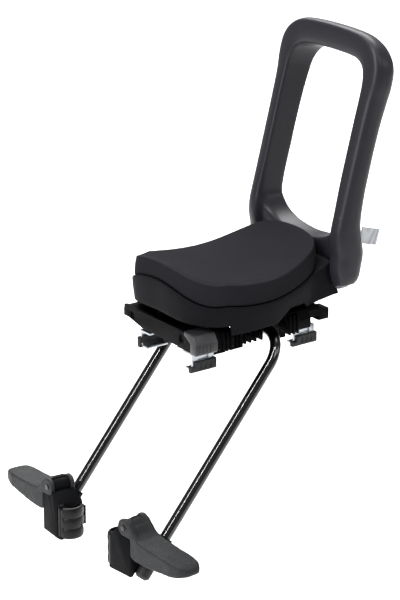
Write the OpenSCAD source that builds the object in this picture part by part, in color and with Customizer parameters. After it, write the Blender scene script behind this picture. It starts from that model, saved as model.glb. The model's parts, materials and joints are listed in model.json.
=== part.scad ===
// Rear child bike seat for a luggage rack: cushion and seat pan, open loop
// backrest, rack carrier with four sliding rail clamps, and a U-shaped bar
// that carries two height-adjustable fold-up footrests.
// Origin: middle of the four rail clamps, on the plane of the rack rails'
// axes. +Z up, -Y forward (the way the child faces), +X the child's left.

/* [Rack rails] */
// Distance between the axes of the two rack rails
rail_gap = 126; // [120:1:130]
// Diameter of a rack rail
rail_d = 16; // [15:0.5:16]
// Distance between the front and rear clamps
clamp_pitch = 178; // [174:1:182]

/* [Seat] */
// Half width of the cushion at its widest
seat_half_w = 100; // [96:1:104]
// Visible thickness of the cushion at the side
cushion_t = 31; // [26:1:34]
// Wall thickness of the seat pan
pan_wall = 3.5; // [3:0.5:5]

/* [Backrest] */
// Half width of the opening between the arms
loop_half_in = 84; // [83:1:86]
// Height of the inner edge of the top arch
loop_top = 390; // [370:2:410]

/* [Footrest bar] */
// Diameter of the bar
bar_d = 16; // [15:0.5:16]
// Distance between the axes of the bar's two legs
bar_gap = 218; // [216:1:220]
// Length of each leg from the cross tube's axis to its end
leg_len = 383; // [375:1:390]

/* [Footrests] */
// Length of the pad from its hinge to its tip
pad_len = 134; // [120:1:140]
// Toe-out angle of the footrests
toe = 5; // [4:1:8]

/* [Hidden] */

rx = rail_gap / 2;
rr = rail_d / 2;
cy = clamp_pitch / 2;
br = bar_d / 2;
bx = bar_gap / 2;
run = 0.05;             // radial running clearance
bar_y = 31;             // axis of the bar's cross tube
bar_z = 18;
bar_a = 39.85;          // forward lean of the legs from straight down
bend_r = 45;
hinge = [92, -221, -211];
lift = 5;               // how much higher on its leg the left footrest stands
c_grey = [0.20, 0.20, 0.21];
c_dark = [0.10, 0.10, 0.11];
c_zinc = [0.75, 0.77, 0.80];

// Catmull-Rom smoothing of hand-chosen outlines
function crm(a, b, c, d, t) = 0.5 * ((2 * b) + (c - a) * t + (2 * a - 5 * b + 4 * c - d) * t * t + (3 * b - a - 3 * c + d) * t * t * t);
function smooth_closed(P, n) = let (L = len(P)) [for (i = [0:L - 1]) for (k = [0:n - 1]) crm(P[(i - 1 + L) % L], P[i], P[(i + 1) % L], P[(i + 2) % L], k / n)];
function smooth_open(P, n) = let (L = len(P)) concat([for (i = [0:L - 2]) for (k = [0:n - 1]) crm(P[max(i - 1, 0)], P[i], P[i + 1], P[min(i + 2, L - 1)], k / n)], [P[L - 1]]);
function mir(P) = concat(P, [for (i = [len(P) - 2:-1:1]) [-P[i][0], P[i][1]]]);
function unit(v) = v / norm(v);
// inset of a closed counter-clockwise outline by d
function inset(P, d) = let (L = len(P)) [for (i = [0:L - 1]) let (t = unit(P[(i + 1) % L] - P[(i - 1 + L) % L])) P[i] + d * [-t[1], t[0]]];
function mean3(R) = [for (k = [0:2]) [for (p = R) p[k]] * [for (p = R) 1] / len(R)];

// closed solid through a list of rings with equal point counts
module loft(R) {
  m = len(R[0]);
  n = len(R);
  pts = concat([for (r = R) for (p = r) p], [mean3(R[0]), mean3(R[n - 1])]);
  faces = concat(
    [for (k = [0:n - 2]) for (i = [0:m - 1]) [k * m + i, (k + 1) * m + i, (k + 1) * m + (i + 1) % m]],
    [for (k = [0:n - 2]) for (i = [0:m - 1]) [k * m + i, (k + 1) * m + (i + 1) % m, k * m + (i + 1) % m]],
    [for (i = [0:m - 1]) [n * m, i, (i + 1) % m]],
    [for (i = [0:m - 1]) [n * m + 1, (n - 1) * m + (i + 1) % m, (n - 1) * m + i]]);
  polyhedron(points = pts, faces = faces);
}

// ---- seat outline and heights ----
sw = seat_half_w;
half = [[0, -112], [34, -112], [60, -107], [80, -93], [sw - 7, -73], [sw - 1, -48], [sw, -18], [sw - 2, 18], [sw - 7, 50], [sw - 14, 80], [sw - 25, 106], [sw - 42, 123], [30, 131], [0, 133]];
pan_half = [[0, -115], [35, -115], [62, -110], [83, -95], [sw - 4, -74], [sw - 0.4, -56], [sw, -54], [sw + 2, -44], [sw + 3, -18], [sw + 1, 18], [sw - 5, 50], [sw - 11, 80], [81, 104], [81, 128], [74, 134.5], [0, 136.5]];
outline = smooth_closed(mir(half), 2);
pan_outline = smooth_closed(mir(pan_half), 2);
// height of the cushion's upper crease and of the joint with the pan
function z_top(x, y) = 103 + (y < 10 ? 0.0015 : 0.0024) * (y - 10) * (y - 10) + (y < -60 ? 5 * (1 - x * x / 2600) * (-60 - y) / 52 : 0);
function z_rim(x, y) = z_top(x, y) - cushion_t + (y < -60 ? 4 * (1 - x * x / 5200) * (-60 - y) / 52 : 0) - (y > 60 ? 0.06 * (y - 60) : 0);
function ring_at(P, d, dz) = [for (p = inset(P, d)) [p[0], p[1], z_rim(p[0], p[1]) + dz]];
function top_ring(P, s, dz) = [for (p = P) let (q = [p[0] * s, 5 + (p[1] - 5) * s]) [q[0], q[1], z_top(q[0], q[1]) + dz]];

module seat_cushion() {
  color(c_dark) loft([ring_at(outline, 0.5, 1.3), ring_at(outline, 0, 6),
    [for (p = inset(outline, 3)) [p[0], p[1], z_top(p[0], p[1]) - 3]],
    [for (p = inset(outline, 5)) [p[0], p[1], z_top(p[0], p[1])]],
    top_ring(outline, 0.8, -1), top_ring(outline, 0.5, -3), top_ring(outline, 0.2, -3.5)]);
}

// lower edge of the pan's skirt: clear above the front beam, deep at the
// sides, arched over the rear clamps
function z_low(x, y) = y < -55 ? 50 + 8 * max(0, 1 - x * x / 9000) : y < 26 ? 36 : y < 54 ? 36 + (y - 26) * 16 / 28 : y < 82 ? 52 : y < 90 ? 52 - (y - 82) : 44.2;
function low_ring(P, d, dz) = [for (p = inset(P, d)) let (k = min(1, max(0, p[1] - 98) / 34) * min(1, max(0, abs(p[0]) - 50) / 20)) [p[0] * (1 + 0.07 * k), p[1] + 13 * k, z_low(p[0], p[1]) + dz]];
function scaled(P, s) = [for (p = P) [p[0] * s, 5 + (p[1] - 5) * s]];
function skin(P, dz) = [for (p = P) [p[0], p[1], z_rim(p[0], p[1]) + dz]];
// seat pan: skin under the cushion, hollow skirt, ribbed screw bosses
module seat_pan() {
  w = pan_wall;
  color(c_grey) difference() {
    union() {
      loft([skin(scaled(pan_outline, 0.1), -0.5 - w), skin(scaled(pan_outline, 0.6), -0.5 - w), skin(inset(pan_outline, w + 4), -0.5 - w), skin(inset(pan_outline, w), -5 - w),
        low_ring(pan_outline, w + 3, 0), low_ring(pan_outline, 3, 0), skin(inset(pan_outline, 0.4), -12), skin(pan_outline, -1.6), skin(inset(pan_outline, 1), 0),
        skin(inset(pan_outline, 3.4), -0.2), skin(scaled(pan_outline, 0.6), -0.2), skin(scaled(pan_outline, 0.1), -0.2)]);
      for (sx = [-1, 1]) for (q = [[-78, 82], [64, 77]]) {
        hull() { translate([sx * 40, q[0], 44.2]) cylinder(d = 16, h = 1, $fn = 32); translate([sx * 40, q[0], q[1]]) cylinder(d = 17, h = 1, $fn = 32); }
        hull() { translate([sx * 40 - 1, q[0] - 14, q[1] - 2]) cube([2, 28, 1]); translate([sx * 40 - 1, q[0] - 8, 52]) cube([2, 16, 1]); }
      }
    }
    for (sx = [-1, 1]) for (q = [-78, 64]) translate([sx * 40, q, 40]) cylinder(r = 2.55, h = 26, $fn = 32);
    for (x = [-34, 34]) translate([x, 145, 84]) rotate([90, 0, 0]) cylinder(r = 2.6, h = 25, $fn = 32);
  }
}

module pan_screws() {
  color(c_zinc) for (sx = [-1, 1]) for (q = [-78, 64]) translate([sx * 40, q, 0]) {
    translate([0, 0, 37]) cylinder(r = 2.5, h = 27.2, $fn = 32);
    translate([0, 0, 34.8]) difference() {
      cylinder(r = 4.5, h = 3.4, $fn = 32);
      translate([0, 0, -1]) cylinder(r = 2.3, h = 3, $fn = 6);
    }
  }
}

// ---- backrest loop ----
// right arm from its lower tip to the middle of the arch:
// inner edge x, front y, z, depth, thickness
function lean(z) = 130 + 0.265 * (z - 172);
li = loop_half_in;
lt = loop_top;
arm = [[li + 5, 147, 61, 9, 9], [li + 1, 142, 66, 22, 18], [li, 137.6, 79, 37, 23], [li, 131, 97, 49, 25], [li, 127, 113, 56, 26], [li, 124, 132, 56, 26], [li, 125, 152, 52, 25.5],
  [li, 131, 176, 47, 25], [li, lean(207), 207, 44, 24.5], [li, lean(240), 240, 43, 24.5], [li, lean(275), 275, 43, 24.5], [li, lean(310), 310, 44, 25], [li, lean(340), lt - 51, 46, 26.5],
  [li - 1.5, lean(362), lt - 29, 48, 31], [li - 8, lean(379), lt - 13, 50, 37], [li - 22, lean(389), lt - 4, 50, 38], [li - 44, lean(393), lt - 1, 50, 38], [0, lean(394), lt, 50, 38]];
bridge = [[li + 6, 129, 176, 42, 18], [li - 5, 135, 152, 42, 21], [li - 22, 137.2, 136, 40, 34], [li - 46, 137.5, 127, 38, 46], [0, 137.8, 123, 38, 47]];
function mir5(A) = concat(A, [for (i = [len(A) - 2:-1:0]) [-A[i][0], A[i][1], A[i][2], A[i][3], A[i][4]]]);
function rev(A) = [for (i = [len(A) - 1:-1:0]) A[i]];
// section in (outward, backward) units of thickness and depth
sec = [[0.04, 0.03], [0.25, -0.01], [0.5, 0], [0.68, 0.07], [0.87, 0.2], [0.98, 0.36], [0.97, 0.52], [0.85, 0.7], [0.6, 0.86], [0.31, 0.96], [0.06, 1], [0, 0.9], [0.02, 0.5], [0, 0.1]];
function sweep(A, S) = let (L = len(A)) [for (i = [0:L - 1]) let (
    a = A[max(i - 1, 0)], b = A[min(i + 1, L - 1)],
    t = unit([b[0] - a[0], b[2] - a[2]]),
    nn = [t[1], 0, -t[0]],
    w = min(max((A[i][2] - 150) / 60, 0), 1),
    mm = unit([0, 1, -0.268 * w]))
  [for (s = S) [A[i][0], A[i][1], A[i][2]] + nn * s[0] * A[i][4] + mm * s[1] * A[i][3]]];
module loop_solid() {
  loft(sweep(smooth_open(mir5(arm), 2), sec));
  loft(sweep(smooth_open(rev(mir5(bridge)), 2), sec));
  // pad that bears on the pan's rear wall
  translate([-48, 137.4, 77]) cube([96, 15, 24]);
}
module backrest_loop() { color(c_grey) loop_solid(); }

// bolts from inside the pan's rear wall into the loop's pad
module backrest_bolts() {
  color(c_zinc) for (x = [-34, 34]) translate([x, 127.5, 84]) rotate([-90, 0, 0]) {
    cylinder(r = 2.5, h = 24, $fn = 32);
    difference() {
      cylinder(r = 4.5, h = 3.4, $fn = 32);
      translate([0, 0, -1]) cylinder(r = 2.3, h = 3, $fn = 6);
    }
  }
}

// ---- rack carrier ----
module box(x0, x1, y0, y1, z0, z1) { translate([x0, y0, z0]) cube([x1 - x0, y1 - y0, z1 - z0]); }
// one clamp housing at +x, centred on its clamp; full: its body runs its
// whole length; s0: where its saddle on the rail begins
module housing(full, s0) {
  // body with a sloping outer shoulder
  translate([0, 42, 0]) rotate([90, 0, 0]) linear_extrude(full ? 64 : 42) polygon([[46, 17], [74, 17], [78, 16], [90, 16], [92, 18], [92, 30], [84, 42], [78, 44], [46, 44]]);
  if (!full) translate([0, 1, 0]) rotate([90, 0, 0]) linear_extrude(23) polygon([[46, 27], [84, 27], [84, 38], [80, 43], [46, 43]]);
  // saddle on the rail
  box(53, 73, s0, 42, 3, 18);
  // shoulder ribs
  for (y = [22, 29, 36]) box(70, 93.5, y, y + 3, 13, 41);
}
module rack_carrier() {
  color(c_dark) difference() {
    union() {
      translate([0, -cy, 0]) housing(true, 20);
      mirror([1, 0, 0]) translate([0, -cy, 0]) housing(false, 20);
      for (sx = [0, 1]) mirror([sx, 0, 0]) {
        translate([0, cy, 0]) mirror([0, 1, 0]) housing(false, 30);
        // side beam, its outer block and open ribs
        box(30, 45.5, -62, 62, 27, 39);
        box(62, 84, -47.5, -25, 9, 33);
        for (y = [-44, -38, -32]) box(80, 86, y, y + 2.5, 10, 30);
        box(66, 69, -26, 15, 10, 33);
        for (y = [-18, -9, 0, 11]) box(45, 79, y, y + 3, 10, 33);
        for (y = [-14, 4]) box(66, 79, y, y + 4, 17, 23);
        // rear feet
        box(62, 84, 110, 128, 20, 36);
      }
      // front beam: full to its near end, cut away toward the far one
      translate([0, -106, 0]) rotate([90, 0, 0]) linear_extrude(5) polygon([[-83, 29.5], [-38, 19.5], [74, 18], [78, 16], [90, 16], [92, 18], [92, 30], [84, 42], [78, 44], [-83, 43.5]]);
      box(-78, 78, -107, -62, 26.2, 30);
      box(-60, 60, -66, -62, 26.2, 40);
      // rear cross beam
      box(-66, 66, 62, 116, 27, 38);
      // screw bosses
      for (sx = [-1, 1]) for (q = [-78, 64]) translate([sx * 40, q, 26.6]) cylinder(d = 16, h = 17.4, $fn = 48);
      // seats of the bar's cross tube
      for (sx = [-1, 1]) translate([sx * 38, bar_y, 20]) box(-8, 8, -15.5, 15.5, 0, 10);
      box(-46, 46, bar_y - 5, bar_y + 5, 27, 38);
      for (x = [-20, 0, 20]) box(x - 2, x + 2, -64, 64, 27, 36);
    }
    for (sx = [0, 1]) mirror([sx, 0, 0]) {
      // rail
      translate([rx, 140, 0]) rotate([90, 0, 0]) cylinder(r = rr, h = 280, $fn = 64);
      for (sy = [-1, 1]) translate([0, sy * cy, 0]) {
        // pocket of the sliding hook's tab, its screw and the screw's head
        box(19, 74, -10, 10, 10, 25.6);
        translate([17, 0, 18.5]) rotate([0, 90, 0]) cylinder(r = 2.5, h = 57.5, $fn = 32);
      }
    }
    // recess under the near front shoulder
    box(76, 95, -cy + 1, -cy + 13, 14, 26.5);
    // screw passages
    for (sx = [-1, 1]) for (q = [-78, 64]) translate([sx * 40, q, 0]) {
      cylinder(r = 4.8, h = 38.2, $fn = 32);
      cylinder(r = 2.7, h = 50, $fn = 32);
    }
    translate([-100, bar_y, bar_z]) rotate([0, 90, 0]) cylinder(r = br + 0.1, h = 200, $fn = 64);
    for (sx = [-1, 1]) for (dy = [-12, 12]) translate([sx * 38, bar_y + dy, 10]) cylinder(r = 2.1, h = 16, $fn = 32);
    // mark slots in the front wall
    for (x = [-66, 52]) box(x, x + 9, -113, -109.5, 27, 37);
  }
}

// ---- clamp hooks: zinc-plated C plates with two prongs ----
module hook() {
  difference() {
    union() {
      translate([0, 18, 0]) rotate([90, 0, 0]) linear_extrude(36) polygon([[54, 11], [74.2, 11], [74.2, -5.5], [71.5, -8.6], [60, -8.6], [60, -11.4], [73, -11.4], [77.2, -6.6], [77.2, 14], [54, 14]]);
      box(54, 57.2, -9.6, 9.6, 12, 25);
    }
    box(73, 78, -9.5, 9.5, 2.9, 10.8);
    translate([50, 0, 18.5]) rotate([0, 90, 0]) cylinder(r = 2.5 + run, h = 12, $fn = 32);
  }
}
module boot() {
  difference() {
    union() {
      // shell outside the plate and lining toward the rail
      translate([0, 17, 0]) rotate([90, 0, 0]) linear_extrude(33) polygon([[63, -8.6], [66, -10], [66, -11.4], [72, -13], [79, -13], [81, -11], [81, 1.8], [80, 2.8], [74.2, 2.8], [74.2, 6], [72.4, 6], [71, 2]]);
      translate([0, 20.5, 0]) rotate([90, 0, 0]) linear_extrude(4) polygon([[74, 2.8], [74, -11.4], [75, -13], [79, -13], [81, -11], [81, 1.8], [80, 2.8]]);
      translate([0, -15.9, 0]) rotate([90, 0, 0]) linear_extrude(6.1) polygon([[73, -11.4], [73, -13], [79, -13], [81, -11], [81, -5.6], [73, -5.6]]);
    }
    translate([0, 18, 0]) rotate([90, 0, 0]) linear_extrude(36) polygon([[54, 11], [74.2, 11], [74.2, -5.5], [71.5, -8.6], [60, -8.6], [60, -11.4], [73, -11.4], [77.2, -6.6], [77.2, 14], [54, 14]]);
    translate([rx, 80, 0]) rotate([90, 0, 0]) cylinder(r = rr + 0.4, h = 160, $fn = 64);
    for (y = [-8, 0, 8]) box(80.3, 82, y, y + 3, -9, -1);
  }
}
// the right hooks are the same piece turned round and closed further
hook_in = 28;
module at_clamp(sx, sy) {
  if (sx > 0) translate([0, sy * cy, 0]) children();
  else translate([hook_in, sy * cy, 0]) rotate([0, 0, 180]) children();
}
module clamp_hook_front_left() { color(c_zinc) at_clamp(1, -1) hook(); }
module clamp_hook_front_right() { color(c_zinc) at_clamp(-1, -1) hook(); }
module clamp_hook_rear_left() { color(c_zinc) at_clamp(1, 1) hook(); }
module clamp_hook_rear_right() { color(c_zinc) at_clamp(-1, 1) hook(); }
module hook_boot_front_left() { color(c_dark) at_clamp(1, -1) boot(); }
module hook_boot_front_right() { color(c_dark) at_clamp(-1, -1) boot(); }
module hook_boot_rear_left() { color(c_dark) at_clamp(1, 1) boot(); }
module hook_boot_rear_right() { color(c_dark) at_clamp(-1, 1) boot(); }
module clamp_screws() {
  color(c_zinc) for (sx = [0, 1]) for (sy = [-1, 1]) mirror([sx, 0, 0]) translate([19.5, sy * cy, 18.5]) rotate([0, 90, 0]) {
    cylinder(r = 2.5, h = 55, $fn = 32);
    difference() {
      cylinder(r = 4.5, h = 4, $fn = 32);
      translate([0, 0, -1]) cylinder(r = 2.2, h = 3.5, $fn = 6);
    }
  }
}

// ---- footrest bar ----
module on_bar() { translate([0, bar_y, bar_z]) rotate([-bar_a, 0, 0]) children(); }
module footrest_bar() {
  color("black") on_bar() {
    translate([-(bx - bend_r), 0, 0]) rotate([0, 90, 0]) cylinder(r = br, h = 2 * (bx - bend_r), $fn = 48);
    for (sx = [0, 1]) mirror([sx, 0, 0]) {
      translate([bx, 0, -leg_len]) cylinder(r = br, h = leg_len - bend_r, $fn = 48);
      translate([bx - bend_r, 0, -bend_r]) rotate([90, 0, 0]) rotate_extrude(angle = 90, $fn = 96) translate([bend_r, 0]) circle(r = br, $fn = 48);
    }
  }
}
module saddle() {
  difference() {
    translate([0, bar_y, 0]) box(-8, 8, -16, 16, 7, 19.6);
    translate([-10, bar_y, bar_z]) rotate([0, 90, 0]) cylinder(r = br, h = 20, $fn = 64);
    translate([-9, bar_y - 17, 0]) cube([18, 9, 14]);
    translate([-9, bar_y + 8, 0]) cube([18, 9, 14]);
    for (dy = [-12, 12]) translate([0, bar_y + dy, 0]) cylinder(r = 2.1, h = 30, $fn = 32);
  }
}
module bar_saddle_left() { color(c_dark) translate([38, 0, 0]) saddle(); }
module bar_saddle_right() { color(c_dark) translate([-38, 0, 0]) saddle(); }
module saddle_screws() {
  color(c_zinc) for (sx = [-1, 1]) for (dy = [-12, 12]) translate([sx * 38, bar_y + dy, 0]) {
    translate([0, 0, 13]) cylinder(r = 2, h = 13, $fn = 32);
    translate([0, 0, 10.8]) cylinder(r = 3.6, h = 3.2, $fn = 32);
  }
}
module bar_cap() {
  translate([bx, 0, -leg_len]) difference() {
    union() {
      translate([0, 0, -4]) cylinder(r = 11, h = 20.9, $fn = 48);
      translate([0, 0, -8]) cylinder(r1 = 7, r2 = 11, h = 4.01, $fn = 48);
    }
    cylinder(r = br, h = 30, $fn = 48);
  }
}
module bar_cap_left() { color(c_dark) on_bar() bar_cap(); }
module bar_cap_right() { color(c_dark) mirror([1, 0, 0]) on_bar() bar_cap(); }

// ---- footrests, built at +x for the lower one ----
module lifted() { translate(lift * [0, sin(bar_a), cos(bar_a)]) children(); }
// hinge frame: x outward from the hinge pin, y backward along it, z up
module at_hinge() { translate(hinge) rotate([0, 0, toe]) children(); }
module along_y(y0, y1) { translate([0, y1, 0]) rotate([90, 0, 0]) linear_extrude(y1 - y0) children(); }
module slider_block() {
  difference() {
    union() {
      at_hinge() {
        // body with a chamfered upper end
        along_y(-19, 18) polygon([[-28, -70], [14, -70], [14, -15], [9, -9], [-9, -4], [-16, -5], [-28, -18]]);
        translate([0, 12.5, 0]) rotate([90, 0, 0]) cylinder(r = 10.3, h = 25, $fn = 64);
        along_y(-12.5, 12.5) polygon([[-9, -12], [9, -12], [8.8, -5], [-8.8, -5]]);
        // ears of the lever
        for (z = [-70, -22]) translate([-31, -14, z]) cylinder(r = 4.5, h = 4, $fn = 32);
        for (z = [-70, -22]) translate([-31, -18.5, z]) cube([6, 9, 4]);
      }
      // sleeve on the bar and its web
      on_bar() translate([bx, 0, -366]) cylinder(r = 11.5, h = 62, $fn = 64);
      translate([88, 0, 0]) rotate([90, 0, 90]) linear_extrude(17.5) polygon([[-222, -281], [-212, -281], [-200, -268], [-184, -248], [-186, -240], [-200, -237.5], [-222, -237.5]]);
      box(66, 90, -222, -193, -270, -242);
    }
    on_bar() translate([bx, 0, -420]) cylinder(r = br + run, h = 200, $fn = 64);
    // room for the end cap below the sleeve
    on_bar() translate([bx, 0, -400]) cylinder(r = 12, h = 34, $fn = 64);
    at_hinge() translate([0, 40, 0]) rotate([90, 0, 0]) cylinder(r = 3 + run, h = 80, $fn = 48);
    at_hinge() translate([-31, -14, -90]) cylinder(r = 1.5 + run, h = 90, $fn = 32);
    // clearance of the pad's cheeks
    at_hinge() for (y = [[-40, -12.5], [12.5, 40]]) along_y(y[0], y[1]) {
      circle(r = 13.4, $fn = 96);
      polygon([[0, 0], [0, 13.4], [40, 13.4], [40, -13.5], [0, -13.5]]);
    }
    // clearance of the lever's knuckle
    at_hinge() translate([-31, -14, -65.7]) cylinder(r = 4.8, h = 43.4, $fn = 48);
    // bore of the locking shoe
    translate([40, -200, -259]) rotate([0, 90, 0]) cylinder(r = 5 + run, h = 69, $fn = 48);
  }
}
module lock_shoe() {
  difference() {
    translate([62.5, -200, -259]) rotate([0, 90, 0]) cylinder(r = 5, h = 42, $fn = 48);
    on_bar() translate([bx, 0, -420]) cylinder(r = br + run, h = 200, $fn = 64);
  }
}
module foot_pad() {
  at_hinge() difference() {
    union() {
      intersection() {
        along_y(-26, 24) polygon([[14.3, -38], [14.3, -16], [12, -9], [11, 4], [15, 4], [22, -5], [32, -10], [50, -12.5], [80, -14.5], [110, -15.5], [pad_len - 12, -16], [pad_len - 4, -19], [pad_len, -25], [pad_len - 5, -31], [pad_len - 22, -35], [60, -40.5], [40, -41.5], [20, -41]]);
        translate([0, 0, -60]) linear_extrude(90) polygon([[9, -19.5], [30, -21.5], [60, -23], [pad_len - 30, -25], [pad_len - 14, -23], [pad_len - 4, -15], [pad_len, -4], [pad_len - 3, 7], [pad_len - 12, 13], [pad_len - 26, 16], [60, 19.5], [30, 20.5], [9, 19.5]]);
      }
      // hinge cheeks
      for (y = [[-19.5, -12.8], [12.8, 19.5]]) {
        translate([0, y[1], 0]) rotate([90, 0, 0]) cylinder(r = 13, h = y[1] - y[0], $fn = 64);
        along_y(y[0], y[1]) polygon([[0, 0], [0, -13], [14.3, -20], [20, -38], [30, -30], [30, -11], [10, 10]]);
      }
      // curl over the block's knuckle
      translate([0, 12.9, 0]) rotate([90, 0, 0]) rotate([0, 0, -32]) rotate_extrude(angle = 122, $fn = 96) translate([10.7, 0]) square([2.4, 25.8]);
    }
    translate([0, 12.8, 0]) rotate([90, 0, 0]) cylinder(r = 10.7, h = 25.6, $fn = 64);
    box(-30, 14.3, -12.8, 12.8, -60, -7);
    // hollow underside with the rear edge cut high over the bar
    box(30, pad_len - 28, -16, 11, -60, -24);
    box(13, 34, 2, 30, -60, -24);
    // body below the cheeks stays clear of the block
    box(-30, 14.3, -30, 30, -60, -13.2);
    translate([0, 40, 0]) rotate([90, 0, 0]) cylinder(r = 3, h = 80, $fn = 48);
  }
}
module pad_pin() {
  at_hinge() {
    translate([0, 20.5, 0]) rotate([90, 0, 0]) cylinder(r = 3, h = 41, $fn = 48);
    translate([0, -19.5, 0]) rotate([90, 0, 0]) cylinder(r = 4.2, h = 1.2, $fn = 48);
  }
}
module lock_lever() {
  at_hinge() difference() {
    union() {
      translate([-31, -14, -65.5]) cylinder(r = 4.4, h = 43, $fn = 48);
      // curved grip with three finger bands
      translate([-28, 1, -68]) rotate([0, 0, 116]) rotate_extrude(angle = 128, $fn = 96)
        polygon([[16.6, 0], [19, 1], [20.3, 6], [19.2, 14], [20.5, 20], [20.5, 25], [19.2, 31], [20.5, 37], [20.5, 41], [19.4, 46], [18.6, 48], [16.6, 48]]);
      // cam rib that presses the shoe
      translate([-46, 3, -53]) cube([10, 9, 8]);
      translate([-37.5, -16.5, -65.5]) cube([6.5, 4.5, 43]);
    }
    translate([-31, -14, -90]) cylinder(r = 1.5 + run, h = 90, $fn = 32);
    // clear of the ears
    for (z = [-71, -22.3]) translate([-31, -14, z]) cylinder(r = 9.5, h = 5.3, $fn = 48);
    box(-28.3, 0, -40, 40, -80, 0);
  }
}
module lever_pin() { at_hinge() translate([-31, -14, -70]) cylinder(r = 1.5, h = 52, $fn = 32); }
module slider_block_left() { color(c_grey) lifted() slider_block(); }
module slider_block_right() { color(c_grey) mirror([1, 0, 0]) slider_block(); }
module foot_pad_left() { color(c_grey) lifted() foot_pad(); }
module foot_pad_right() { color(c_grey) mirror([1, 0, 0]) foot_pad(); }
module pad_pin_left() { color(c_zinc) lifted() pad_pin(); }
module pad_pin_right() { color(c_zinc) mirror([1, 0, 0]) pad_pin(); }
module lock_lever_left() { color(c_dark) lifted() lock_lever(); }
module lock_lever_right() { color(c_dark) mirror([1, 0, 0]) lock_lever(); }
module lever_pin_left() { color(c_zinc) lifted() lever_pin(); }
module lever_pin_right() { color(c_zinc) mirror([1, 0, 0]) lever_pin(); }
module lock_shoe_left() { color(c_dark) lifted() lock_shoe(); }
module lock_shoe_right() { color(c_dark) mirror([1, 0, 0]) lock_shoe(); }
module textile_label() {
  color("gainsboro") difference() {
    translate([103.6, 160, 131]) rotate([-16, 0, 0]) cube([0.8, 40, 24]);
    loop_solid();
  }
}

seat_cushion();
seat_pan();
pan_screws();
backrest_loop();
backrest_bolts();
rack_carrier();
footrest_bar();
bar_saddle_left();
bar_saddle_right();
saddle_screws();
clamp_hook_front_left();
clamp_hook_front_right();
clamp_hook_rear_left();
clamp_hook_rear_right();
hook_boot_front_left();
hook_boot_front_right();
hook_boot_rear_left();
hook_boot_rear_right();
clamp_screws();
bar_cap_left();
bar_cap_right();
slider_block_left();
slider_block_right();
foot_pad_left();
foot_pad_right();
pad_pin_left();
pad_pin_right();
lock_lever_left();
lock_lever_right();
lever_pin_left();
lever_pin_right();
lock_shoe_left();
lock_shoe_right();
textile_label();
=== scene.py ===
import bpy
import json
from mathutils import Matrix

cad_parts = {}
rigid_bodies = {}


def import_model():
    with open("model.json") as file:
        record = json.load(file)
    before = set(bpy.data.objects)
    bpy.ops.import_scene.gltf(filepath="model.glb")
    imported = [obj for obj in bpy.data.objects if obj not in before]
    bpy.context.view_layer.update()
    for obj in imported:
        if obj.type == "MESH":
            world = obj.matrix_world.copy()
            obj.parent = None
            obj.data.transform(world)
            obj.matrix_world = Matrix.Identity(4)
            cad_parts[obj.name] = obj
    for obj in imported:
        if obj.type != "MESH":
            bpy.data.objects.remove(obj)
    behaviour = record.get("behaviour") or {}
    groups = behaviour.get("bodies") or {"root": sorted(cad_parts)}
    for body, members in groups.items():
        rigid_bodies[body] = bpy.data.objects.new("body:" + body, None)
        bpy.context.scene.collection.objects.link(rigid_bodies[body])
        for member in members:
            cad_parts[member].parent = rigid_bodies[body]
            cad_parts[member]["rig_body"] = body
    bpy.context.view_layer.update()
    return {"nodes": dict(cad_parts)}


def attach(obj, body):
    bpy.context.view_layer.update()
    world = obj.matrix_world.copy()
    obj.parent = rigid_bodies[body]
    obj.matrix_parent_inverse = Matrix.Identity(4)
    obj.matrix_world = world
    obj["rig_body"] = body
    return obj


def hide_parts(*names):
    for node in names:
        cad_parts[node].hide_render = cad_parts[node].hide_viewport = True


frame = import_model()
import json, math
import bpy, bmesh
import numpy as np
from mathutils import Matrix, Vector

MM = 0.001
scene = bpy.context.scene


# ---------------------------------------------------------------- materials
def base_mat(name, color, rough, metallic=0.0, coat=0.0, spec=0.5):
    m = bpy.data.materials.new(name)
    m.use_nodes = True
    n, l = m.node_tree.nodes, m.node_tree.links
    b = n["Principled BSDF"]
    b.inputs["Base Color"].default_value = (*color, 1)
    b.inputs["Roughness"].default_value = rough
    b.inputs["Metallic"].default_value = metallic
    b.inputs["Coat Weight"].default_value = coat
    b.inputs["Specular IOR Level"].default_value = spec
    tc = n.new("ShaderNodeTexCoord")
    return m, n, l, b, tc


def grain(name, color, rough, scale, bump, spread=0.12, coarse=60.0, metallic=0.0, coat=0.0, spec=0.5, detail=3.0, dist=0.0006):
    """plastic, rubber or metal with a fine grain in bump and a faint drift of tone and gloss"""
    m, n, l, b, tc = base_mat(name, color, rough, metallic, coat, spec)
    fine = n.new("ShaderNodeTexNoise")
    fine.inputs["Scale"].default_value = scale
    fine.inputs["Detail"].default_value = detail
    l.new(tc.outputs["Object"], fine.inputs["Vector"])
    wide = n.new("ShaderNodeTexNoise")
    wide.inputs["Scale"].default_value = coarse
    wide.inputs["Detail"].default_value = 2.0
    l.new(tc.outputs["Object"], wide.inputs["Vector"])
    bp = n.new("ShaderNodeBump")
    bp.inputs["Strength"].default_value = bump
    bp.inputs["Distance"].default_value = dist
    l.new(fine.outputs["Fac"], bp.inputs["Height"])
    l.new(bp.outputs["Normal"], b.inputs["Normal"])
    ramp = n.new("ShaderNodeMapRange")
    ramp.inputs["From Min"].default_value = 0.3
    ramp.inputs["From Max"].default_value = 0.7
    ramp.inputs["To Min"].default_value = max(0.02, rough - spread)
    ramp.inputs["To Max"].default_value = min(1.0, rough + spread)
    l.new(wide.outputs["Fac"], ramp.inputs["Value"])
    l.new(ramp.outputs["Result"], b.inputs["Roughness"])
    mix = n.new("ShaderNodeMix")
    mix.data_type = "RGBA"
    mix.inputs[6].default_value = (*[c * 0.88 for c in color], 1)
    mix.inputs[7].default_value = (*[min(1, c * 1.12) for c in color], 1)
    l.new(fine.outputs["Fac"], mix.inputs["Factor"])
    l.new(mix.outputs[2], b.inputs["Base Color"])
    return m


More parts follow.
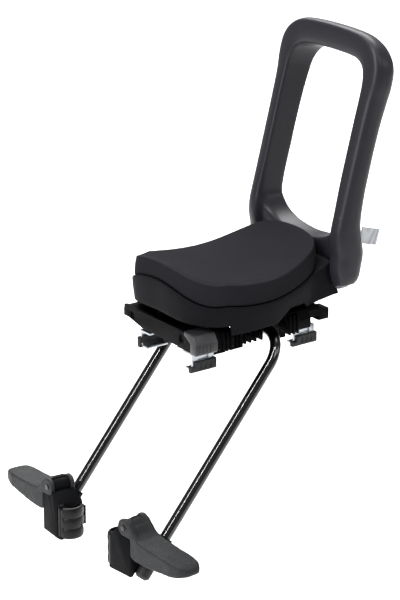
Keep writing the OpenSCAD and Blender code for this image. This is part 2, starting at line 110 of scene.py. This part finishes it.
MAT = {
    "cushion": grain("foam_skin", (0.0118, 0.0115, 0.0138), 0.88, 1500, 0.25, 0.015, 30, spec=0.05),
    "pan": grain("pan_plastic", (0.0058, 0.0055, 0.0070), 0.55, 2200, 0.10, 0.02, 25, spec=0.04),
    "loop": grain("loop_plastic", (0.0150, 0.0145, 0.0185), 0.38, 2000, 0.12, 0.02, 18, spec=0.24),
    "carrier": grain("carrier_plastic", (0.0010, 0.0010, 0.0014), 0.42, 1300, 0.30, 0.04, 40, spec=0.03),
    "bar": grain("bar_gloss_paint", (0.0015, 0.0015, 0.0018), 0.08, 500, 0.02, 0.02, 30, coat=0.5, spec=0.5),
    "zinc": grain("zinc_plate", (0.50, 0.525, 0.56), 0.33, 900, 0.06, 0.06, 60, metallic=1.0),
    "boot": grain("boot_rubber", (0.0100, 0.0100, 0.0115), 0.58, 1600, 0.25, 0.05, 50, spec=0.35),
    "screw": grain("screw_black_zinc", (0.030, 0.030, 0.034), 0.35, 900, 0.05, 0.05, 60, metallic=1.0),
    "footrest": grain("footrest_sand", (0.0125, 0.0134, 0.0145), 0.52, 420, 1.0, 0.05, 60, detail=6.0, dist=0.0012, spec=0.22),
    "block": grain("block_plastic", (0.0042, 0.0044, 0.0052), 0.55, 700, 0.6, 0.04, 60, detail=5.0, spec=0.03),
    "lever": grain("lever_plastic", (0.0035, 0.0035, 0.0042), 0.38, 1400, 0.25, 0.04, 50, spec=0.22),
    "pin": grain("pin_steel", (0.055, 0.055, 0.06), 0.34, 900, 0.05, 0.05, 60, metallic=1.0),
    "cap": grain("shoulder_plastic", (0.0135, 0.0135, 0.0155), 0.32, 1300, 0.22, 0.04, 40, spec=0.42),
}


def woven():
    m, n, l, b, tc = base_mat("label_woven", (0.5, 0.51, 0.53), 0.85)
    w = n.new("ShaderNodeTexWave")
    w.inputs["Scale"].default_value = 420
    w.inputs["Distortion"].default_value = 1.5
    l.new(tc.outputs["Object"], w.inputs["Vector"])
    bp = n.new("ShaderNodeBump")
    bp.inputs["Strength"].default_value = 0.3
    bp.inputs["Distance"].default_value = 0.0004
    l.new(w.outputs["Fac"], bp.inputs["Height"])
    l.new(bp.outputs["Normal"], b.inputs["Normal"])
    mix = n.new("ShaderNodeMix")
    mix.data_type = "RGBA"
    mix.inputs[6].default_value = (0.30, 0.31, 0.33, 1)
    mix.inputs[7].default_value = (0.46, 0.47, 0.49, 1)
    l.new(w.outputs["Fac"], mix.inputs["Factor"])
    l.new(mix.outputs[2], b.inputs["Base Color"])
    return m


MAT["label"] = woven()


# ---------------------------------------------------------------- mesh helpers
def new_obj(name, verts, faces, merge=1e-6):
    me = bpy.data.meshes.new(name)
    me.from_pydata([tuple(v) for v in verts], [], faces)
    bm = bmesh.new()
    bm.from_mesh(me)
    if merge:
        bmesh.ops.remove_doubles(bm, verts=bm.verts, dist=merge)
    bmesh.ops.recalc_face_normals(bm, faces=bm.faces)
    bm.to_mesh(me)
    bm.free()
    o = bpy.data.objects.new(name, me)
    scene.collection.objects.link(o)
    return o


def bake(o):
    dg = bpy.context.evaluated_depsgraph_get()
    me = bpy.data.meshes.new_from_object(o.evaluated_get(dg))
    o.modifiers.clear()
    o.data = me
    return o


def dress(o, slot, body, angle=40, replaces=(), mat=None):
    o.data.materials.clear()
    o.data.materials.append(MAT[mat or slot])
    o.data.shade_smooth()
    if angle:
        o.data.set_sharp_from_angle(angle=math.radians(angle))
    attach(o, body)
    if replaces:
        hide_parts(*replaces)
    return o


def cad_copy(node, name):
    me = frame["nodes"][node].data
    return new_obj(name, [v.co.copy() for v in me.vertices], [list(p.vertices) for p in me.polygons], 2e-6)


def soften(node, slot, w=0.6, segs=2, limit=32, angle=42, mat=None, clean=0.8):
    """a copy of a CAD node with rounded edges"""
    o = cad_copy(node, node + "_skin")
    bm = bmesh.new()
    bm.from_mesh(o.data)
    bmesh.ops.dissolve_limit(bm, angle_limit=math.radians(clean), verts=bm.verts, edges=bm.edges)
    bm.to_mesh(o.data)
    bm.free()
    if w:
        m = o.modifiers.new("edge", "BEVEL")
        m.width = w * MM
        m.segments = segs
        m.limit_method = "ANGLE"
        m.angle_limit = math.radians(limit)
        m.use_clamp_overlap = True
        bake(o)
    return dress(o, slot, frame["nodes"][node]["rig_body"], angle, (node,), mat)


def remesh(o, size, smooth=6, factor=0.5):
    m = o.modifiers.new("rm", "REMESH")
    m.mode = "VOXEL"
    m.voxel_size = size * MM
    m.use_smooth_shade = True
    bake(o)
    if smooth:
        s = o.modifiers.new("sm", "SMOOTH")
        s.factor = factor
        s.iterations = smooth
        bake(o)
    return o


def unit(v):
    v = np.asarray(v, float)
    return v / np.linalg.norm(v)


def crm(a, b, c, d, t):
    return 0.5 * ((2 * b) + (c - a) * t + (2 * a - 5 * b + 4 * c - d) * t * t + (3 * b - a - 3 * c + d) * t ** 3)


def smooth_closed(P, n):
    P = [np.array(p, float) for p in P]
    L = len(P)
    return [crm(P[i - 1], P[i], P[(i + 1) % L], P[(i + 2) % L], k / n) for i in range(L) for k in range(n)]


def smooth_open(P, n):
    P = [np.array(p, float) for p in P]
    L = len(P)
    return [crm(P[max(i - 1, 0)], P[i], P[i + 1], P[min(i + 2, L - 1)], k / n) for i in range(L - 1) for k in range(n)] + [P[-1]]


def even(P, n):
    """closed outline resampled to n points of even spacing"""
    Q = np.array(list(P) + [P[0]])
    d = np.r_[0, np.cumsum(np.linalg.norm(np.diff(Q, axis=0), axis=1))]
    t = np.linspace(0, d[-1], n, endpoint=False)
    return np.stack([np.interp(t, d, Q[:, k]) for k in range(Q.shape[1])], 1)


def inset(P, d):
    t = np.roll(P, -1, 0) - np.roll(P, 1, 0)
    t /= np.linalg.norm(t, axis=1)[:, None]
    return P + d * np.stack([-t[:, 1], t[:, 0]], 1)


def loft(name, rings, cap=True):
    m, n = len(rings[0]), len(rings)
    v = [tuple(np.array(p) * MM) for r in rings for p in r]
    f = []
    for k in range(n - 1):
        for i in range(m):
            j = (i + 1) % m
            f.append((k * m + i, k * m + j, (k + 1) * m + j, (k + 1) * m + i))
    if cap:
        for k in (0, n - 1):
            c = len(v)
            v.append(tuple(np.mean([v[k * m + i] for i in range(m)], 0)))
            f += [(c, k * m + i, k * m + (i + 1) % m) for i in range(m)]
    return new_obj(name, v, f)


def join(name, objs):
    bpy.ops.object.select_all(action="DESELECT")
    for o in objs:
        o.select_set(True)
    bpy.context.view_layer.objects.active = objs[0]
    bpy.ops.object.join()
    objs[0].name = name
    return objs[0]


def tube(name, path, r, n=40, caps=True):
    """round tube along a path of points, mm"""
    P = np.array(path, float)
    T = np.gradient(P, axis=0)
    T /= np.linalg.norm(T, axis=1)[:, None]
    u = np.cross(T[0], [0.3, 0.9, 0.1])
    u /= np.linalg.norm(u)
    rings = []
    for p, t in zip(P, T):
        u = u - t * (u @ t)
        u /= np.linalg.norm(u)
        w = np.cross(t, u)
        rings.append([p + r * (math.cos(a) * u + math.sin(a) * w) for a in np.linspace(0, 2 * math.pi, n, endpoint=False)])
    return loft(name, rings, caps)


# ---------------------------------------------------------------- seat
SW = 100.0
half = [[0, -112], [34, -112], [60, -107], [80, -93], [SW - 7, -73], [SW - 1, -48], [SW, -18], [SW - 2, 18], [SW - 7, 50], [SW - 14, 80], [SW - 25, 106], [SW - 42, 123], [30, 131], [0, 133]]
pan_half = [[0, -115], [35, -115], [62, -110], [83, -95], [SW - 4, -74], [SW - 0.4, -56], [SW, -54], [SW + 2, -44], [SW + 3, -18], [SW + 1, 18], [SW - 5, 50], [SW - 11, 80], [81, 104], [81, 128], [74, 134.5], [0, 136.5]]


def mir(P):
    return P + [[-p[0], p[1]] for p in P[-2:0:-1]]


OUT = even(smooth_closed(mir(half), 8), 260)
PAN = even(smooth_closed(mir(pan_half), 8), 420)


def z_top(x, y):
    return 103 + np.where(y < 10, 0.0015, 0.0024) * (y - 10) ** 2 + np.where(y < -60, 5 * (1 - x * x / 2600) * (-60 - y) / 52, 0)


def z_rim(x, y):
    return z_top(x, y) - 31 + np.where(y < -60, 4 * (1 - x * x / 5200) * (-60 - y) / 52, 0) - np.where(y > 60, 0.06 * (y - 60), 0)


def with_z(P, z):
    return np.c_[P, z]


def rim(P, dz):
    return with_z(P, z_rim(P[:, 0], P[:, 1]) + dz)


def shrink(P, s):
    return np.c_[P[:, 0] * s, 5 + (P[:, 1] - 5) * s]


def crease(P, dz):
    return with_z(P, z_top(P[:, 0], P[:, 1]) + dz)


def cushion():
    R = [rim(inset(OUT, 12), 1.4), rim(inset(OUT, 5), 1.3), rim(inset(OUT, 1.4), 1.3), rim(inset(OUT, 0.4), 1.9), rim(inset(OUT, 0.0), 3.4)]
    a, b = rim(OUT, 3.4), crease(inset(OUT, 2.2), -2.6)
    for t in np.linspace(0, 1, 8)[1:-1]:
        p = a * (1 - t) + b * t
        q = inset(p[:, :2], -0.9 * math.sin(math.pi * t))
        R.append(with_z(q, p[:, 2]))
    R += [b, crease(inset(OUT, 2.35), -1.6), crease(inset(OUT, 2.8), -0.8), crease(inset(OUT, 3.6), -0.25), crease(inset(OUT, 4.6), -0.02), crease(inset(OUT, 6.0), -0.25)]
    rim_in = inset(OUT, 6.0)
    for s in np.r_[0.975, 0.95, np.linspace(0.92, 0.06, 24)]:
        q = shrink(rim_in, s)
        R.append(crease(q, -0.25 - 3.6 * (1 - s ** 2.2) ** 1.3))
    o = loft("cushion_foam", R)
    rest = np.array([v.co for v in o.data.vertices])
    hold = []
    for v in o.data.vertices:
        x, y, z = np.array(v.co) / MM
        if z < z_rim(x, y) + 5:
            hold.append(v.index)
    g = o.vertex_groups.new(name="hold")
    g.add(hold, 1.0, "REPLACE")
    m = o.modifiers.new("cloth", "CLOTH")
    s = m.settings
    s.quality = 4
    s.mass = 0.3
    s.tension_stiffness = 40
    s.compression_stiffness = 40
    s.shear_stiffness = 20
    s.bending_stiffness = 8
    s.use_pressure = True
    s.uniform_pressure_force = 4
    s.vertex_group_mass = "hold"
    s.effector_weights.gravity = 0
    m.collision_settings.use_collision = False
    m.point_cache.frame_start, m.point_cache.frame_end = 1, 20
    for f in range(1, 21):
        scene.frame_set(f)
    dg = bpy.context.evaluated_depsgraph_get()
    got = np.array([v.co for v in o.evaluated_get(dg).to_mesh().vertices])
    o.modifiers.clear()
    o.vertex_groups.clear()
    scene.frame_set(1)
    d = got - rest
    big = np.linalg.norm(d, axis=1)[:, None]
    d *= np.minimum(1, 0.0016 / np.maximum(big, 1e-9))
    top = np.array([max(0.0, min(1.0, (p[2] / MM - z_top(p[0] / MM, p[1] / MM) + 6) / 3)) for p in rest])
    edge = np.array([1 - math.exp(-(((abs(p[2] / MM - z_top(p[0] / MM, p[1] / MM))) / 4) ** 2)) for p in rest])
    d *= (0.25 + 0.75 * np.maximum(top * 0.9, edge))[:, None]
    o.data.vertices.foreach_set("co", (rest + d).astype(np.float32).ravel())
    o.data.update()
    dress(o, "cushion", "seat", 0, ("seat_cushion",))
    return o


cushion()


def z_low(x, y):
    return np.where(y < -55, 50 + 8 * np.maximum(0, 1 - x * x / 9000), np.where(y < 26, 36, np.where(y < 54, 36 + (y - 26) * 16 / 28, np.where(y < 82, 52, np.where(y < 90, 52 - (y - 82), 44.2)))))


def low(P, dz):
    k = np.minimum(1, np.maximum(0, P[:, 1] - 98) / 34) * np.minimum(1, np.maximum(0, np.abs(P[:, 0]) - 50) / 20)
    return np.c_[P[:, 0] * (1 + 0.07 * k), P[:, 1] + 13 * k, z_low(P[:, 0], P[:, 1]) + dz + 10 * k]


def pan():
    w = 3.5
    lo, hi = low(inset(PAN, 3), 0.8), rim(inset(PAN, 0.4), -12)
    side = [lo * (1 - t) + hi * t for t in (0.2, 0.4, 0.6, 0.8)]
    R = [rim(shrink(PAN, 0.1), -0.5 - w), rim(shrink(PAN, 0.6), -0.5 - w), rim(inset(PAN, w + 4), -0.5 - w), rim(inset(PAN, w), -5 - w),
         low(inset(PAN, w + 3), 1.2), low(inset(PAN, w + 2.2), 0.2), low(inset(PAN, 3.8), 0.1), low(inset(PAN, 3.2), 0.4), lo, *side, hi,
         rim(inset(PAN, 0.15), -7), rim(PAN, -2.4), rim(inset(PAN, 0.12), -1.3), rim(inset(PAN, 0.5), -0.45), rim(inset(PAN, 1.2), 0.0), rim(inset(PAN, 2.4), -0.1),
         rim(inset(PAN, 4.5), -0.2), rim(shrink(PAN, 0.6), -0.2), rim(shrink(PAN, 0.1), -0.2)]
    o = loft("pan_shell", R)
    parts = [o]
    for sx in (-1, 1):
        for y, z1 in ((-78, 82), (64, 77)):
            b = loft("boss", [[(sx * 40 + r * math.cos(a), y + r * math.sin(a), z) for a in np.linspace(0, 2 * math.pi, 40, endpoint=False)] for z, r in ((44.2, 2.6), (44.2, 7.6), (44.8, 8.0), (z1 + 1, 8.5))])
            parts.append(b)
            for k in range(2):
                ang = math.radians(90 + 90 * k)
                c, s = math.cos(ang), math.sin(ang)
                P = [(-14, 1, z1), (14, 1, z1), (14, -1, z1), (-14, -1, z1)]
                Q = [(-9, 1, 52), (9, 1, 52), (9, -1, 52), (-9, -1, 52)]
                parts.append(loft("rib", [[(sx * 40 + x * c - yy * s, y + x * s + yy * c, z) for x, yy, z in T] for T in (Q, P)]))
    o = join("pan_shell", parts)
    return dress(o, "pan", "seat", 50, ("seat_pan",))


pan()

# ---------------------------------------------------------------- loop
LI, LT = 84.0, 390.0


def lean(z):
    return 130 + 0.265 * (z - 172)


arm = [[LI + 4, 141.5, 61, 16, 14], [LI + 1, 135, 66, 30, 20], [LI, 130.0, 79, 45, 25], [LI, 126.5, 97, 53.5, 26], [LI, 127, 113, 56, 26], [LI, 124, 132, 56, 26], [LI, 125, 152, 52, 25.5],
       [LI, 131, 176, 47, 25], [LI, lean(207), 207, 44, 24.5], [LI, lean(240), 240, 43, 24.5], [LI, lean(275), 275, 43, 24.5], [LI, lean(310), 310, 44, 25], [LI, lean(340), LT - 51, 46, 26.5],
       [LI - 1.5, lean(362), LT - 29, 48, 31], [LI - 8, lean(379), LT - 13, 50, 37], [LI - 22, lean(389), LT - 4, 50, 38], [LI - 44, lean(393), LT - 1, 50, 38], [0, lean(394), LT, 50, 38]]
bridge = [[LI + 6, 129, 176, 42, 18], [LI - 5, 135, 152, 42, 21], [LI - 22, 137.2, 136, 40, 34], [LI - 46, 137.5, 127, 38, 46], [0, 137.8, 123, 38, 47]]
sec = [[0.0, 0.05], [0.07, 0.0], [0.26, -0.015], [0.5, 0.0], [0.74, 0.035], [0.9, 0.10], [0.985, 0.22], [1.0, 0.4], [0.97, 0.58], [0.86, 0.75], [0.62, 0.88], [0.31, 0.97], [0.06, 1.0], [0.0, 0.92], [-0.01, 0.5], [-0.01, 0.15]]


def mir5(A):
    return A + [[-a[0], *a[1:]] for a in A[-2::-1]]


def sweep(A, S):
    R = []
    for i, q in enumerate(A):
        a, b = A[max(i - 1, 0)], A[min(i + 1, len(A) - 1)]
        t = unit([b[0] - a[0], b[2] - a[2]])
        nn = np.array([t[1], 0, -t[0]])
        w = min(max((q[2] - 150) / 60, 0), 1)
        mm = unit([0, 1, -0.268 * w])
        R.append([q[:3] + nn * s[0] * q[4] + mm * s[1] * q[3] for s in S])
    return R


def loop():
    S = smooth_closed(sec, 3)
    a = loft("loop_skin", sweep(smooth_open(mir5(arm), 6), S))
    b = loft("b", sweep(smooth_open(mir5(bridge)[::-1], 6), S))
    c = loft("c", [[(-48, 137.4, z), (48, 137.4, z), (48, 152, z), (-48, 152, z)] for z in (77, 101)])
    o = join("loop_skin", [a, b, c])
    remesh(o, 1.6, 4, 0.5)
    # melt the arms into the bridge
    g = o.vertex_groups.new(name="melt")
    for v in o.data.vertices:
        x, y, z = abs(v.co.x) / MM, v.co.y / MM, v.co.z / MM
        w = math.exp(-(((x - 74) / 21) ** 2) - ((z - 156) / 38) ** 2) * (1 if x < 98 else 0)
        if w > 0.03:
            g.add([v.index], min(1.0, 1.25 * w), "REPLACE")
    m = o.modifiers.new("melt", "SMOOTH")
    m.factor = 0.5
    m.iterations = 100
    m.vertex_group = "melt"
    bake(o)
    o.vertex_groups.clear()
    return dress(o, "loop", "seat", 0, ("backrest_loop",))


loop()

# ---------------------------------------------------------------- bar
BA = math.radians(39.85)
BAR0 = np.array([0, 31.0, 18.0])
DOWN = np.array([0, -math.sin(BA), -math.cos(BA)])
UP = -DOWN
BX, BEND, LEG = 109.0, 45.0, 383.0


def bar_point(x, s):
    return BAR0 + np.array([x, 0, 0]) + DOWN * s


path = [bar_point(BX, s) for s in np.linspace(LEG, BEND, 20)]
path += [bar_point(BX - BEND + BEND * math.cos(a), BEND - BEND * math.sin(a)) for a in np.linspace(0, math.pi / 2, 34)[1:]]
path += [bar_point(x, 0) for x in np.linspace(BX - BEND, 0, 8)[1:]]
path += [np.array([-p[0], p[1], p[2]]) for p in path[-2::-1]]
dress(tube("bar_tube", path, 8.0, 56), "bar", "seat", 50, ("footrest_bar",))

HINGE = np.array([92.0, -221.0, -211.0])
TOE = math.radians(5)


def short_sleeve(o, side, s_top=330.0):
    """lowers the top of the slider's sleeve along its leg"""
    sx = 1 if side == "left" else -1
    lift = 5 if side == "left" else 0
    top = s_top - lift
    for v in o.data.vertices:
        p = np.array(v.co) / MM - BAR0
        p[0] = p[0] - sx * BX
        s_at = p @ DOWN
        off = p - s_at * DOWN
        back = v.co.y / MM - HINGE[1] + abs(v.co.x / MM - sx * HINGE[0]) * math.tan(TOE)
        if s_at < top and back > 24 and np.linalg.norm(off) < 12.3:
            v.co = Vector((BAR0 + np.array([sx * BX, 0, 0]) + top * DOWN + off) * MM)
    bm = bmesh.new()
    bm.from_mesh(o.data)
    bmesh.ops.remove_doubles(bm, verts=bm.verts, dist=2e-5)
    bmesh.ops.dissolve_degenerate(bm, edges=bm.edges, dist=2e-5)
    bm.to_mesh(o.data)
    bm.free()


# ---------------------------------------------------------------- carrier, clamps
soften("rack_carrier", "carrier", 0.9, 2)
for q in ("front_left", "front_right", "rear_left", "rear_right"):
    soften("clamp_hook_" + q, "zinc", 0.5, 2)
    soften("hook_boot_" + q, "boot", 0.7, 2)
HOOKS = {"front_left": (1, -1), "front_right": (-1, -1), "rear_left": (1, 1), "rear_right": (-1, 1)}
for q, (hx, hy) in HOOKS.items():
    def at_clamp(p):
        x, y, z = p
        return (x, y + hy * 89, z) if hx > 0 else (28 - x, -y + hy * 89, z)
    P = [(-9.9, 2.2), (9.9, 2.2), (9.9, 11.4), (-9.9, 11.4)]
    rings = [[at_clamp((x, y * k, 6.8 + (z - 6.8) * k)) for y, z in P] for x, k in ((73.4, 0.96), (73.6, 1.0), (75.3, 1.0), (75.7, 0.93))]
    o = loft("clamp_plate_" + q, rings)
    dress(o, "zinc", "hook_" + q, 30)

cap = [(78.6, 15.4), (90.6, 15.4), (93.2, 17.6), (93.2, 30.6), (85.0, 42.9), (78.4, 45.3), (64, 45.3), (63, 40.5), (78.6, 31)]
cx, cz = 82.0, 33.0
rings = []
for y, k in ((-112.4, 0.90), (-111.9, 0.97), (-110.6, 1.0), (-84, 1.0), (-76, 1.0), (-75.2, 0.975), (-74.8, 0.9)):
    rings.append([(cx + (x - cx) * k, y, cz + (z - cz) * k) for x, z in cap])
parts = [loft("shoulder_cap", rings)]
for i in range(4):
    y = -105.5 + 6.2 * i
    parts.append(loft("rib", [[(88.6 + a * e, y + b * e, z) for a, b in ((0, -1.1), (5.4, -1.1), (5.4, 1.1), (0, 1.1))] for z, e in ((18.5, 0.8), (19.3, 1.0), (28.6, 1.0), (29.6, 0.7))]))
o = join("shoulder_cap", parts)
m = o.modifiers.new("edge", "BEVEL")
m.width, m.segments, m.limit_method, m.angle_limit = 0.8 * MM, 2, "ANGLE", math.radians(25)
bake(o)
dress(o, "carrier", "seat", 30, mat="cap")

for n in ("clamp_screws", "saddle_screws", "pan_screws", "backrest_bolts"):
    soften(n, "screw", 0.25, 1)
for s in ("left", "right"):
    soften("bar_saddle_" + s, "carrier", 0.5, 2)
    soften("bar_cap_" + s, "boot", 0.8, 3)
    o = soften("slider_block_" + s, "footrest", 1.3, 3, mat="block")
    short_sleeve(o, s)
    soften("lock_shoe_" + s, "boot", 0.2, 1)
    soften("pad_pin_" + s, "pin", 0.3, 2)
    soften("lever_pin_" + s, "pin", 0.15, 1)

# ---------------------------------------------------------------- footrests


def at_hinge(p, side):
    x, y, z = p
    q = HINGE + np.array([x * math.cos(TOE) - y * math.sin(TOE), x * math.sin(TOE) + y * math.cos(TOE), z])
    if side == "left":
        q = q + 5 * UP
    else:
        q = q * np.array([-1, 1, 1])
    return q


for s in ("left", "right"):
    o = cad_copy("foot_pad_" + s, "pad_skin_" + s)
    remesh(o, 0.95, 26, 0.5)
    # rounder nose
    sx, up = (1, 5 * UP) if s == "left" else (-1, 0 * UP)
    g = o.vertex_groups.new(name="nose")
    for v in o.data.vertices:
        p = np.array(v.co) / MM * np.array([sx, 1, 1]) - HINGE - up * np.array([sx, 1, 1])
        w = (p[0] * math.cos(TOE) + p[1] * math.sin(TOE) - 104) / 22
        if w > 0:
            g.add([v.index], min(1.0, w), "REPLACE")
    m = o.modifiers.new("nose", "SMOOTH")
    m.factor, m.iterations, m.vertex_group = 0.5, 70, "nose"
    bake(o)
    o.vertex_groups.clear()
    dress(o, "footrest", "pad_" + s, 0, ("foot_pad_" + s,))
    # raised frame of the bare plate on the hinge's curl
    W, H, rad = 9.0, 0.62, 3.0
    prof = []
    for cx, cy, a0 in ((1, 1, 0), (-1, 1, 90), (-1, -1, 180), (1, -1, 270)):
        for a in np.linspace(math.radians(a0), math.radians(a0 + 90), 7):
            prof.append((cx * (W - rad) + rad * math.cos(a), cy * (9.2 - rad) + rad * math.sin(a)))
    prof = np.array(prof)
    rings = []
    for k in range(9):
        t = 2 * math.pi * k / 8
        d, h = 0.95 * math.cos(t), 0.95 * math.sin(t)
        Q = inset(prof, d)
        rings.append([at_hinge(((13.35 + h) * math.cos(math.radians(38 + x / 13.1 * 57.3)), y, (13.35 + h) * math.sin(math.radians(38 + x / 13.1 * 57.3))), s) for x, y in [(q[1], q[0]) for q in Q]])
    dress(loft("plate_frame_" + s, rings, False), "footrest", "pad_" + s, 0, mat="lever")

    # lever: curved grip with three finger bands, its barrel and its cam
    A = np.radians(np.linspace(116, 244, 44))
    Z = np.linspace(-68, -20, 61)
    grid_out, grid_in = [], []
    for z in Z:
        u = (z + 68) / 48
        r = 18.7 + 1.75 * abs(math.sin(3 * math.pi * u)) ** 0.55
        e = min(1, min(u, 1 - u) * 48 / 1.6)
        r -= 1.2 * (1 - e) ** 2
        row, rin = [], []
        for a in A:
            k = min(1, min(a - A[0], A[-1] - a) * 18 / 3.0)
            rr = r - 1.1 * (1 - k) ** 2
            row.append((-28 + rr * math.cos(a), 1 + rr * math.sin(a), z))
            rin.append((-28 + 16.6 * math.cos(a), 1 + 16.6 * math.sin(a), z))
        grid_out.append(row)
        grid_in.append(rin)
    rings = [[at_hinge(p, s) for p in row + rin[::-1]] for row, rin in zip(grid_out, grid_in)]
    grip = loft("grip", rings)
    barrel = tube("barrel", [at_hinge((-31, -14, z), s) for z in np.linspace(-65.5, -22.5, 6)], 4.4, 32)
    arm_box = loft("arm", [[at_hinge(p, s) for p in ((-37.5, -16.5, z), (-31, -16.5, z), (-31, -12, z), (-37.5, -12, z))] for z in (-65.5, -22.5)])
    cam_box = loft("cam", [[at_hinge(p, s) for p in ((-46, 3, z), (-36, 3, z), (-36, 12, z), (-46, 12, z))] for z in (-53, -45)])
    o = join("lever_skin_" + s, [grip, barrel, arm_box, cam_box])
    dress(o, "lever", "lever_" + s, 50, ("lock_lever_" + s,))

# ---------------------------------------------------------------- label: a small woven sheet, 24 x 36 mm
nx, ny = 24, 16
v, f = [], []
for j in range(ny + 1):
    for i in range(nx + 1):
        u, w = i / nx, j / ny
        y, z = 36 * u, 24 * w
        c, s_ = math.cos(math.radians(-16)), math.sin(math.radians(-16))
        bow = 0.9 * math.sin(math.pi * u) * (0.4 + 0.6 * w) - 1.4 * u * u
        v.append(((104.0 + bow) * MM, (163 + y * c - z * s_) * MM, (131 + y * s_ + z * c) * MM))
for j in range(ny):
    for i in range(nx):
        a = j * (nx + 1) + i
        f.append((a, a + 1, a + nx + 2, a + nx + 1))
lab = new_obj("label_sheet", v, f)
dress(lab, "label", "seat", 0, ("textile_label",))

# ---------------------------------------------------------------- stage
def floor():
    n, R = 96, 30.0
    v = [(R * math.cos(a), R * math.sin(a), -0.62) for a in np.linspace(0, 2 * math.pi, n, endpoint=False)]
    o = new_obj("floor", v, [tuple(range(n))], 0)
    m, n_, l, b, tc = base_mat("floor_pale", (0.93, 0.93, 0.93), 0.9)
    o.data.materials.append(m)


floor()
world = bpy.data.worlds.new("world")
scene.world = world
world.use_nodes = True
world.node_tree.nodes["Background"].inputs["Color"].default_value = (1, 1, 1, 1)
world.node_tree.nodes["Background"].inputs["Strength"].default_value = 0.28


def area(name, loc, target, size, power, size_y=None):
    d = bpy.data.lights.new(name, "AREA")
    d.energy = power
    d.shape = "RECTANGLE"
    d.size = size
    d.size_y = size_y or size
    o = bpy.data.objects.new(name, d)
    scene.collection.objects.link(o)
    o.location = loc
    o.rotation_euler = (Vector(target) - Vector(loc)).to_track_quat("-Z", "Y").to_euler()
    return o


BACK = np.array([-math.sin(math.radians(53.9)), math.cos(math.radians(53.9)), 0.0])
SIDE = np.array([math.cos(math.radians(53.9)), math.sin(math.radians(53.9)), 0.0])


def studio(back, side, z):
    p = BACK * back + SIDE * side
    return (p[0], p[1], z)


# two broad lights over the floor behind the seat keep it white and rim the seat; the front is lit softly
area("wash_near", studio(1.7, 0, 2.9), studio(1.75, 0, -0.62), 3.4, 100)
area("wash_far", studio(5.0, 0, 4.2), studio(5.2, 0, -0.62), 5.5, 620)
area("key", studio(-1.6, 1.9, 2.3), (0, 0.05, 0.2), 1.2, 20)
area("fill", studio(-2.6, -1.6, 0.9), (0, -0.1, 0.0), 1.4, 5)
area("arch", studio(-0.9, 0.5, 2.7), (0, 0.2, 0.42), 0.35, 9)
area("side", studio(-0.2, 3.0, 1.3), (0, 0.1, 0.15), 1.0, 10)
# a long strip, seen mirrored in the bar's legs a third in from their left edges
ax = np.array([0, math.sin(BA), math.cos(BA)])
vb = np.array([math.sin(math.radians(53.9)) * math.cos(math.radians(19.35)), -math.cos(math.radians(53.9)) * math.cos(math.radians(19.35)), math.sin(math.radians(19.35))])
nb = unit(vb - (vb @ ax) * ax)
nr = np.cross(ax, nb)
nr = nr if nr @ SIDE > 0 else -nr
nn_ = unit(math.cos(math.radians(20)) * nb - math.sin(math.radians(20)) * nr)
ref = 2 * (nn_ @ vb) * nn_ - vb
mid = np.array([0.0, -0.10, -0.13])
pos = mid + 2.6 * ref
strip = bpy.data.lights.new("strip", "AREA")
strip.energy, strip.shape, strip.size, strip.size_y = 95, "RECTANGLE", 0.10, 3.4
so = bpy.data.objects.new("strip", strip)
scene.collection.objects.link(so)
zc = unit(pos - mid)
yc = unit(ax - (ax @ zc) * zc)
xc = np.cross(yc, zc)
so.matrix_world = Matrix([[xc[0], yc[0], zc[0], pos[0]], [xc[1], yc[1], zc[1], pos[1]], [xc[2], yc[2], zc[2], pos[2]], [0, 0, 0, 1]])

# ---------------------------------------------------------------- camera
AZ, EL, F, OX, OY = math.radians(53.9), math.radians(19.35), 2500.0, 221.5, 332.8
b = np.array([math.sin(AZ) * math.cos(EL), -math.cos(AZ) * math.cos(EL), math.sin(EL)])
r = np.array([math.cos(AZ), math.sin(AZ), 0.0])
u = np.array([-math.sin(AZ) * math.sin(EL), math.cos(AZ) * math.sin(EL), math.cos(EL)])
D = F / 0.70
C = D * b - (OX - 200) / F * D * r + (OY - 300) / F * D * u
cam_data = bpy.data.cameras.new("cam")
cam_data.lens = F * 36 / 600
cam_data.sensor_width = 36
cam_data.clip_start, cam_data.clip_end = 0.1, 60
cam = bpy.data.objects.new("cam", cam_data)
scene.collection.objects.link(cam)
cam.matrix_world = Matrix([[r[0], u[0], b[0], C[0] * MM], [r[1], u[1], b[1], C[1] * MM], [r[2], u[2], b[2], C[2] * MM], [0, 0, 0, 1]])
scene.camera = cam
scene.view_settings.view_transform = "Standard"
